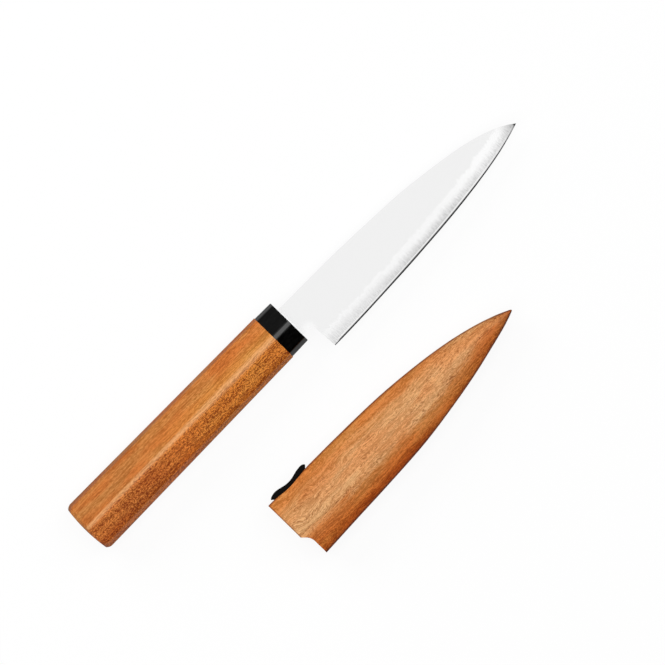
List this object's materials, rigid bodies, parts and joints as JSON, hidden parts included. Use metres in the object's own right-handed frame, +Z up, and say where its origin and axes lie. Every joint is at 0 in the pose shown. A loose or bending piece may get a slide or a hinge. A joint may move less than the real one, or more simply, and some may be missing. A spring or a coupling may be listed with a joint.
{
  "type": "paring knife",
  "caption": "Small fruit and paring knife with a wooden hidden-tang handle and black collar, beside its wooden sheath with a rocking lock lever.",
  "frame": {"origin": "under the middle of the box round the knife and its sheath, on the surface that both lie on", "axes": "+X along the knife from the handle to the point, +Y from the cutting edge to the spine, +Z up"},
  "size_m": [0.21, 0.0772, 0.0154],
  "materials": {
    "blade_steel": "satin",
    "collar_plastic": "gloss",
    "handle_wood": "satin",
    "sheath_wood": "satin",
    "lever_plastic": "matte",
    "pin_steel": "satin",
    "spring_steel": "satin"
  },
  "bodies": {
    "knife": {"blade": "blade_steel", "ferrule": "collar_plastic", "handle": "handle_wood"},
    "sheath": {"sheath_upper_cheek": "sheath_wood", "sheath_lower_cheek": "sheath_wood", "sheath_back_strip": "sheath_wood", "sheath_edge_strip": "sheath_wood", "lock_pivot_pins": "pin_steel", "lock_springs": "spring_steel"},
    "lever": {"lock_lever": "lever_plastic"}
  },
  "joints": [
    {"name": "sheath_draw", "type": "slide", "parent": "knife", "child": "sheath", "axis": [1, 0, 0], "range_m": [0, 0.16]},
    {"name": "lever_press", "type": "hinge", "parent": "sheath", "child": "lever", "pos_m": [-0.04245, -0.0148, 0.0073], "axis": [0, 0, -1], "range_deg": [0, 2.5], "stiffness_Nm_per_rad": 0.07, "springref_deg": -4.01, "deforming": ["lock_springs"]}
  ]
}
